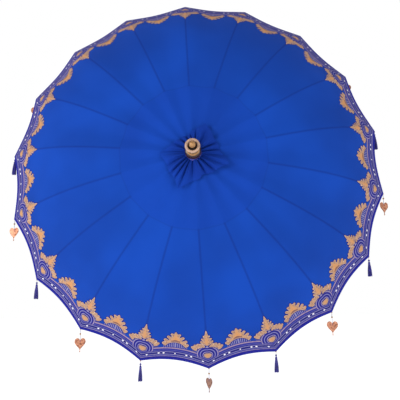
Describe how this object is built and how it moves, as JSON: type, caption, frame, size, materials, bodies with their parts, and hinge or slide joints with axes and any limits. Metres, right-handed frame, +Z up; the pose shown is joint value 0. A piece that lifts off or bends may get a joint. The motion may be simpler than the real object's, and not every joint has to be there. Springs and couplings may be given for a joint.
{
  "type": "ceremonial parasol",
  "caption": "Ribbed cloth parasol with a painted border, hanging pendants, a turned finial and a runner that folds it along its pole.",
  "frame": {"origin": "centre of the flat end of the pole's foot", "axes": "+Y runs out of the foot's free end, so that the pole and finial lie along -Y; +Z is up, against which the pendants hang; +X is to the right of a viewer facing the finial"},
  "size_m": [1.823, 2.4115, 1.9051],
  "materials": {
    "stained_wood": "stained and varnished",
    "painted_finial": "turned, painted gold and dark brown",
    "turned_wood": "oiled",
    "spring_steel": "brushed",
    "blue_cloth": "plain weave with a painted gold border",
    "rib_wood": "split and planed",
    "strut_wood": "planed",
    "tassel_thread": "silky thread",
    "copper_leaf": "stamped and lacquered"
  },
  "bodies": {
    "root": {"pole": "stained_wood", "finial": "painted_finial", "crown_hub": "turned_wood", "canopy": "blue_cloth"},
    "catch": {"spring_catch": "spring_steel"},
    "runner": {"runner_hub": "turned_wood"},
    "rib_01": {"rib_01": "rib_wood"},
    "rib_02": {"rib_02": "rib_wood"},
    "rib_03": {"rib_03": "rib_wood"},
    "rib_04": {"rib_04": "rib_wood"},
    "rib_05": {"rib_05": "rib_wood"},
    "rib_06": {"rib_06": "rib_wood"},
    "rib_07": {"rib_07": "rib_wood"},
    "rib_08": {"rib_08": "rib_wood"},
    "rib_09": {"rib_09": "rib_wood"},
    "rib_10": {"rib_10": "rib_wood"},
    "rib_11": {"rib_11": "rib_wood"},
    "rib_12": {"rib_12": "rib_wood"},
    "rib_13": {"rib_13": "rib_wood"},
    "rib_14": {"rib_14": "rib_wood"},
    "rib_15": {"rib_15": "rib_wood"},
    "rib_16": {"rib_16": "rib_wood"},
    "rib_17": {"rib_17": "rib_wood"},
    "rib_18": {"rib_18": "rib_wood"},
    "strut_01": {"strut_01": "strut_wood"},
    "strut_02": {"strut_02": "strut_wood"},
    "strut_03": {"strut_03": "strut_wood"},
    "strut_04": {"strut_04": "strut_wood"},
    "strut_05": {"strut_05": "strut_wood"},
    "strut_06": {"strut_06": "strut_wood"},
    "strut_07": {"strut_07": "strut_wood"},
    "strut_08": {"strut_08": "strut_wood"},
    "strut_09": {"strut_09": "strut_wood"},
    "strut_10": {"strut_10": "strut_wood"},
    "strut_11": {"strut_11": "strut_wood"},
    "strut_12": {"strut_12": "strut_wood"},
    "strut_13": {"strut_13": "strut_wood"},
    "strut_14": {"strut_14": "strut_wood"},
    "strut_15": {"strut_15": "strut_wood"},
    "strut_16": {"strut_16": "strut_wood"},
    "strut_17": {"strut_17": "strut_wood"},
    "strut_18": {"strut_18": "strut_wood"},
    "tassel_01": {"tassel_01": "tassel_thread"},
    "heart_pendant_01": {"heart_pendant_01": "copper_leaf"},
    "tassel_02": {"tassel_02": "tassel_thread"},
    "heart_pendant_02": {"heart_pendant_02": "copper_leaf"},
    "tassel_03": {"tassel_03": "tassel_thread"},
    "heart_pendant_03": {"heart_pendant_03": "copper_leaf"},
    "tassel_04": {"tassel_04": "tassel_thread"},
    "heart_pendant_04": {"heart_pendant_04": "copper_leaf"},
    "tassel_05": {"tassel_05": "tassel_thread"},
    "heart_pendant_05": {"heart_pendant_05": "copper_leaf"},
    "tassel_06": {"tassel_06": "tassel_thread"},
    "heart_pendant_06": {"heart_pendant_06": "copper_leaf"},
    "tassel_07": {"tassel_07": "tassel_thread"},
    "heart_pendant_07": {"heart_pendant_07": "copper_leaf"},
    "tassel_08": {"tassel_08": "tassel_thread"},
    "heart_pendant_08": {"heart_pendant_08": "copper_leaf"},
    "tassel_09": {"tassel_09": "tassel_thread"},
    "heart_pendant_09": {"heart_pendant_09": "copper_leaf"}
  },
  "joints": [
    {"name": "canopy_fold", "type": "hinge", "parent": "root", "child": "rib_01", "pos_m": [-0.0019, -2.25694, 0.03395], "axis": [-0.9984, 0, -0.0558], "range_deg": [0, 62], "deforming": ["canopy", "spring_catch"]},
    {"name": "strut_01_hinge", "type": "hinge", "parent": "rib_01", "child": "strut_01", "pos_m": [-0.02512, -2.2015, 0.4493], "axis": [-0.9984, 0, -0.0558], "range_deg": [-124, 0]},
    {"name": "runner_hinge", "type": "hinge", "parent": "strut_01", "child": "runner", "pos_m": [-0.0019, -2.14606, 0.03395], "axis": [-0.9984, 0, -0.0558], "range_deg": [0, 62]},
    {"name": "tassel_01_swing", "type": "hinge", "parent": "rib_01", "child": "tassel_01", "pos_m": [-0.05028, -1.89003, 0.89933], "axis": [0.9945, 0.1044, 0], "range_deg": [0, 151.84]},
    {"name": "rib_02_hinge", "type": "hinge", "parent": "root", "child": "rib_02", "pos_m": [0.00983, -2.25694, 0.03255], "axis": [-0.9573, 0, 0.289], "range_deg": [0, 62]},
    {"name": "strut_02_hinge", "type": "hinge", "parent": "rib_02", "child": "strut_02", "pos_m": [0.13006, -2.2015, 0.43079], "axis": [-0.9573, 0, 0.289], "range_deg": [-124, 0]},
    {"name": "heart_pendant_01_swing", "type": "hinge", "parent": "rib_02", "child": "heart_pendant_01", "pos_m": [0.26034, -1.89003, 0.86229], "axis": [0.8786, -0.4776, 0], "range_deg": [0, 147.71]},
    {"name": "rib_03_hinge", "type": "hinge", "parent": "root", "child": "rib_03", "pos_m": [0.02037, -2.25694, 0.02722], "axis": [-0.8007, 0, 0.599], "range_deg": [0, 62]},
    {"name": "strut_03_hinge", "type": "hinge", "parent": "rib_03", "child": "strut_03", "pos_m": [0.26956, -2.2015, 0.36033], "axis": [-0.8007, 0, 0.599], "range_deg": [-124, 0]},
    {"name": "tassel_02_swing", "type": "hinge", "parent": "rib_03", "child": "tassel_02", "pos_m": [0.53956, -1.89003, 0.72125], "axis": [0.6638, -0.7479, 0], "range_deg": [0, 135]},
    {"name": "rib_04_hinge", "type": "hinge", "parent": "root", "child": "rib_04", "pos_m": [0.02845, -2.25694, 0.01862], "axis": [-0.5476, 0, 0.8368], "range_deg": [0, 62]},
    {"name": "strut_04_hinge", "type": "hinge", "parent": "rib_04", "child": "strut_04", "pos_m": [0.37654, -2.2015, 0.2464], "axis": [-0.5476, 0, 0.8368], "range_deg": [-124, 0]},
    {"name": "heart_pendant_02_swing", "type": "hinge", "parent": "rib_04", "child": "heart_pendant_02", "pos_m": [0.7537, -1.89003, 0.49321], "axis": [0.5363, -0.844, 0], "range_deg": [0, 118.92]},
    {"name": "rib_05_hinge", "type": "hinge", "parent": "root", "child": "rib_05", "pos_m": [0.0331, -2.25694, 0.00776], "axis": [-0.2284, 0, 0.9736], "range_deg": [0, 62]},
    {"name": "strut_05_hinge", "type": "hinge", "parent": "rib_05", "child": "strut_05", "pos_m": [0.43811, -2.2015, 0.10276], "axis": [-0.2284, 0, 0.9736], "range_deg": [-124, 0]},
    {"name": "tassel_03_swing", "type": "hinge", "parent": "rib_05", "child": "tassel_03", "pos_m": [0.87694, -1.89003, 0.20568], "axis": [0.4793, -0.8776, 0], "range_deg": [0, 101.64]},
    {"name": "rib_06_hinge", "type": "hinge", "parent": "root", "child": "rib_06", "pos_m": [0.03376, -2.25694, -0.00403], "axis": [0.1184, 0, 0.993], "range_deg": [0, 62]},
    {"name": "strut_06_hinge", "type": "hinge", "parent": "rib_06", "child": "strut_06", "pos_m": [0.44683, -2.2015, -0.05328], "axis": [0.1184, 0, 0.993], "range_deg": [-124, 0]},
    {"name": "heart_pendant_03_swing", "type": "hinge", "parent": "rib_06", "child": "heart_pendant_03", "pos_m": [0.8944, -1.89003, -0.10665], "axis": [0.4721, -0.8816, 0], "range_deg": [0, 84.01]},
    {"name": "rib_07_hinge", "type": "hinge", "parent": "root", "child": "rib_07", "pos_m": [0.03035, -2.25694, -0.01533], "axis": [0.4509, 0, 0.8926], "range_deg": [0, 62]},
    {"name": "strut_07_hinge", "type": "hinge", "parent": "rib_07", "child": "strut_07", "pos_m": [0.40166, -2.2015, -0.20289], "axis": [0.4509, 0, 0.8926], "range_deg": [-124, 0]},
    {"name": "tassel_04_swing", "type": "hinge", "parent": "rib_07", "child": "tassel_04", "pos_m": [0.80398, -1.89003, -0.40612], "axis": [0.5118, -0.8591, 0], "range_deg": [0, 66.55]},
    {"name": "rib_08_hinge", "type": "hinge", "parent": "root", "child": "rib_08", "pos_m": [0.02327, -2.25694, -0.02478], "axis": [0.729, 0, 0.6845], "range_deg": [0, 62]},
    {"name": "strut_08_hinge", "type": "hinge", "parent": "rib_08", "child": "strut_08", "pos_m": [0.30805, -2.2015, -0.32804], "axis": [0.729, 0, 0.6845], "range_deg": [-124, 0]},
    {"name": "heart_pendant_04_swing", "type": "hinge", "parent": "rib_08", "child": "heart_pendant_04", "pos_m": [0.6166, -1.89003, -0.65661], "axis": [0.6134, -0.7898, 0], "range_deg": [0, 49.95]},
    {"name": "rib_09_hinge", "type": "hinge", "parent": "root", "child": "rib_09", "pos_m": [0.01339, -2.25694, -0.03125], "axis": [0.9191, 0, 0.3939], "range_deg": [0, 62]},
    {"name": "strut_09_hinge", "type": "hinge", "parent": "rib_09", "child": "strut_09", "pos_m": [0.17727, -2.2015, -0.41361], "axis": [0.9191, 0, 0.3939], "range_deg": [-124, 0]},
    {"name": "tassel_05_swing", "type": "hinge", "parent": "rib_09", "child": "tassel_05", "pos_m": [0.35484, -1.89003, -0.8279], "axis": [0.8035, -0.5953, 0], "range_deg": [0, 35.76]},
    {"name": "rib_10_hinge", "type": "hinge", "parent": "root", "child": "rib_10", "pos_m": [0.0019, -2.25694, -0.03395], "axis": [0.9984, 0, 0.0558], "range_deg": [0, 62]},
    {"name": "strut_10_hinge", "type": "hinge", "parent": "rib_10", "child": "strut_10", "pos_m": [0.02512, -2.2015, -0.4493], "axis": [0.9984, 0, 0.0558], "range_deg": [-124, 0]},
    {"name": "heart_pendant_05_swing", "type": "hinge", "parent": "rib_10", "child": "heart_pendant_05", "pos_m": [0.05028, -1.89003, -0.89933], "axis": [0.9945, -0.1044, 0], "range_deg": [0, 28.18]},
    {"name": "rib_11_hinge", "type": "hinge", "parent": "root", "child": "rib_11", "pos_m": [-0.00983, -2.25694, -0.03255], "axis": [0.9573, 0, -0.289], "range_deg": [0, 62]},
    {"name": "strut_11_hinge", "type": "hinge", "parent": "rib_11", "child": "strut_11", "pos_m": [-0.13006, -2.2015, -0.43079], "axis": [0.9573, 0, -0.289], "range_deg": [-124, 0]},
    {"name": "tassel_06_swing", "type": "hinge", "parent": "rib_11", "child": "tassel_06", "pos_m": [-0.26034, -1.89003, -0.86229], "axis": [0.8786, 0.4776, 0], "range_deg": [0, 32.31]},
    {"name": "rib_12_hinge", "type": "hinge", "parent": "root", "child": "rib_12", "pos_m": [-0.02037, -2.25694, -0.02722], "axis": [0.8007, 0, -0.599], "range_deg": [0, 62]},
    {"name": "strut_12_hinge", "type": "hinge", "parent": "rib_12", "child": "strut_12", "pos_m": [-0.26956, -2.2015, -0.36033], "axis": [0.8007, 0, -0.599], "range_deg": [-124, 0]},
    {"name": "heart_pendant_06_swing", "type": "hinge", "parent": "rib_12", "child": "heart_pendant_06", "pos_m": [-0.53956, -1.89003, -0.72125], "axis": [0.6638, 0.7479, 0], "range_deg": [0, 45.02]},
    {"name": "rib_13_hinge", "type": "hinge", "parent": "root", "child": "rib_13", "pos_m": [-0.02845, -2.25694, -0.01862], "axis": [0.5476, 0, -0.8368], "range_deg": [0, 62]},
    {"name": "strut_13_hinge", "type": "hinge", "parent": "rib_13", "child": "strut_13", "pos_m": [-0.37654, -2.2015, -0.2464], "axis": [0.5476, 0, -0.8368], "range_deg": [-124, 0]},
    {"name": "tassel_07_swing", "type": "hinge", "parent": "rib_13", "child": "tassel_07", "pos_m": [-0.7537, -1.89003, -0.49321], "axis": [0.5363, 0.844, 0], "range_deg": [0, 61.1]},
    {"name": "rib_14_hinge", "type": "hinge", "parent": "root", "child": "rib_14", "pos_m": [-0.0331, -2.25694, -0.00776], "axis": [0.2284, 0, -0.9736], "range_deg": [0, 62]},
    {"name": "strut_14_hinge", "type": "hinge", "parent": "rib_14", "child": "strut_14", "pos_m": [-0.43811, -2.2015, -0.10276], "axis": [0.2284, 0, -0.9736], "range_deg": [-124, 0]},
    {"name": "heart_pendant_07_swing", "type": "hinge", "parent": "rib_14", "child": "heart_pendant_07", "pos_m": [-0.87694, -1.89003, -0.20568], "axis": [0.4793, 0.8776, 0], "range_deg": [0, 78.38]},
    {"name": "rib_15_hinge", "type": "hinge", "parent": "root", "child": "rib_15", "pos_m": [-0.03376, -2.25694, 0.00403], "axis": [-0.1184, 0, -0.993], "range_deg": [0, 62]},
    {"name": "strut_15_hinge", "type": "hinge", "parent": "rib_15", "child": "strut_15", "pos_m": [-0.44683, -2.2015, 0.05328], "axis": [-0.1184, 0, -0.993], "range_deg": [-124, 0]},
    {"name": "tassel_08_swing", "type": "hinge", "parent": "rib_15", "child": "tassel_08", "pos_m": [-0.8944, -1.89003, 0.10665], "axis": [0.4721, 0.8816, 0], "range_deg": [0, 96.01]},
    {"name": "rib_16_hinge", "type": "hinge", "parent": "root", "child": "rib_16", "pos_m": [-0.03035, -2.25694, 0.01533], "axis": [-0.4509, 0, -0.8926], "range_deg": [0, 62]},
    {"name": "strut_16_hinge", "type": "hinge", "parent": "rib_16", "child": "strut_16", "pos_m": [-0.40166, -2.2015, 0.20289], "axis": [-0.4509, 0, -0.8926], "range_deg": [-124, 0]},
    {"name": "heart_pendant_08_swing", "type": "hinge", "parent": "rib_16", "child": "heart_pendant_08", "pos_m": [-0.80398, -1.89003, 0.40612], "axis": [0.5118, 0.8591, 0], "range_deg": [0, 113.47]},
    {"name": "rib_17_hinge", "type": "hinge", "parent": "root", "child": "rib_17", "pos_m": [-0.02327, -2.25694, 0.02478], "axis": [-0.729, 0, -0.6845], "range_deg": [0, 62]},
    {"name": "strut_17_hinge", "type": "hinge", "parent": "rib_17", "child": "strut_17", "pos_m": [-0.30805, -2.2015, 0.32804], "axis": [-0.729, 0, -0.6845], "range_deg": [-124, 0]},
    {"name": "tassel_09_swing", "type": "hinge", "parent": "rib_17", "child": "tassel_09", "pos_m": [-0.6166, -1.89003, 0.65661], "axis": [0.6134, 0.7898, 0], "range_deg": [0, 130.07]},
    {"name": "rib_18_hinge", "type": "hinge", "parent": "root", "child": "rib_18", "pos_m": [-0.01339, -2.25694, 0.03125], "axis": [-0.9191, 0, -0.3939], "range_deg": [0, 62]},
    {"name": "strut_18_hinge", "type": "hinge", "parent": "rib_18", "child": "strut_18", "pos_m": [-0.17727, -2.2015, 0.41361], "axis": [-0.9191, 0, -0.3939], "range_deg": [-124, 0]},
    {"name": "heart_pendant_09_swing", "type": "hinge", "parent": "rib_18", "child": "heart_pendant_09", "pos_m": [-0.35484, -1.89003, 0.8279], "axis": [0.8035, 0.5953, 0], "range_deg": [0, 144.26]},
    {"name": "catch_press", "type": "hinge", "parent": "root", "child": "catch", "pos_m": [0.0105, -1.99306, 0], "axis": [0, 0, -1], "range_deg": [0, 5.5], "stiffness_Nm_per_rad": 0.8, "springref_deg": -2.86}
  ],
  "couplings": [
    {"joint": "strut_01_hinge", "follows": "canopy_fold", "ratio": -2},
    {"joint": "runner_hinge", "follows": "canopy_fold", "ratio": 1},
    {"joint": "tassel_01_swing", "follows": "canopy_fold", "ratio": 2.4489},
    {"joint": "rib_02_hinge", "follows": "canopy_fold", "ratio": 1},
    {"joint": "strut_02_hinge", "follows": "canopy_fold", "ratio": -2},
    {"joint": "heart_pendant_01_swing", "follows": "canopy_fold", "ratio": 2.3823},
    {"joint": "rib_03_hinge", "follows": "canopy_fold", "ratio": 1},
    {"joint": "strut_03_hinge", "follows": "canopy_fold", "ratio": -2},
    {"joint": "tassel_02_swing", "follows": "canopy_fold", "ratio": 2.1773},
    {"joint": "rib_04_hinge", "follows": "canopy_fold", "ratio": 1},
    {"joint": "strut_04_hinge", "follows": "canopy_fold", "ratio": -2},
    {"joint": "heart_pendant_02_swing", "follows": "canopy_fold", "ratio": 1.9179},
    {"joint": "rib_05_hinge", "follows": "canopy_fold", "ratio": 1},
    {"joint": "strut_05_hinge", "follows": "canopy_fold", "ratio": -2},
    {"joint": "tassel_03_swing", "follows": "canopy_fold", "ratio": 1.6392},
    {"joint": "rib_06_hinge", "follows": "canopy_fold", "ratio": 1},
    {"joint": "strut_06_hinge", "follows": "canopy_fold", "ratio": -2},
    {"joint": "heart_pendant_03_swing", "follows": "canopy_fold", "ratio": 1.3548},
    {"joint": "rib_07_hinge", "follows": "canopy_fold", "ratio": 1},
    {"joint": "strut_07_hinge", "follows": "canopy_fold", "ratio": -2},
    {"joint": "tassel_04_swing", "follows": "canopy_fold", "ratio": 1.0732},
    {"joint": "rib_08_hinge", "follows": "canopy_fold", "ratio": 1},
    {"joint": "strut_08_hinge", "follows": "canopy_fold", "ratio": -2},
    {"joint": "heart_pendant_04_swing", "follows": "canopy_fold", "ratio": 0.80542},
    {"joint": "rib_09_hinge", "follows": "canopy_fold", "ratio": 1},
    {"joint": "strut_09_hinge", "follows": "canopy_fold", "ratio": -2},
    {"joint": "tassel_05_swing", "follows": "canopy_fold", "ratio": 0.57665},
    {"joint": "rib_10_hinge", "follows": "canopy_fold", "ratio": 1},
    {"joint": "strut_10_hinge", "follows": "canopy_fold", "ratio": -2},
    {"joint": "heart_pendant_05_swing", "follows": "canopy_fold", "ratio": 0.45432},
    {"joint": "rib_11_hinge", "follows": "canopy_fold", "ratio": 1},
    {"joint": "strut_11_hinge", "follows": "canopy_fold", "ratio": -2},
    {"joint": "tassel_06_swing", "follows": "canopy_fold", "ratio": 0.52097},
    {"joint": "rib_12_hinge", "follows": "canopy_fold", "ratio": 1},
    {"joint": "strut_12_hinge", "follows": "canopy_fold", "ratio": -2},
    {"joint": "heart_pendant_06_swing", "follows": "canopy_fold", "ratio": 0.72594},
    {"joint": "rib_13_hinge", "follows": "canopy_fold", "ratio": 1},
    {"joint": "strut_13_hinge", "follows": "canopy_fold", "ratio": -2},
    {"joint": "tassel_07_swing", "follows": "canopy_fold", "ratio": 0.98529},
    {"joint": "rib_14_hinge", "follows": "canopy_fold", "ratio": 1},
    {"joint": "strut_14_hinge", "follows": "canopy_fold", "ratio": -2},
    {"joint": "heart_pendant_07_swing", "follows": "canopy_fold", "ratio": 1.264},
    {"joint": "rib_15_hinge", "follows": "canopy_fold", "ratio": 1},
    {"joint": "strut_15_hinge", "follows": "canopy_fold", "ratio": -2},
    {"joint": "tassel_08_swing", "follows": "canopy_fold", "ratio": 1.5484},
    {"joint": "rib_16_hinge", "follows": "canopy_fold", "ratio": 1},
    {"joint": "strut_16_hinge", "follows": "canopy_fold", "ratio": -2},
    {"joint": "heart_pendant_08_swing", "follows": "canopy_fold", "ratio": 1.83},
    {"joint": "rib_17_hinge", "follows": "canopy_fold", "ratio": 1},
    {"joint": "strut_17_hinge", "follows": "canopy_fold", "ratio": -2},
    {"joint": "tassel_09_swing", "follows": "canopy_fold", "ratio": 2.0978},
    {"joint": "rib_18_hinge", "follows": "canopy_fold", "ratio": 1},
    {"joint": "strut_18_hinge", "follows": "canopy_fold", "ratio": -2},
    {"joint": "heart_pendant_09_swing", "follows": "canopy_fold", "ratio": 2.3266}
  ]
}
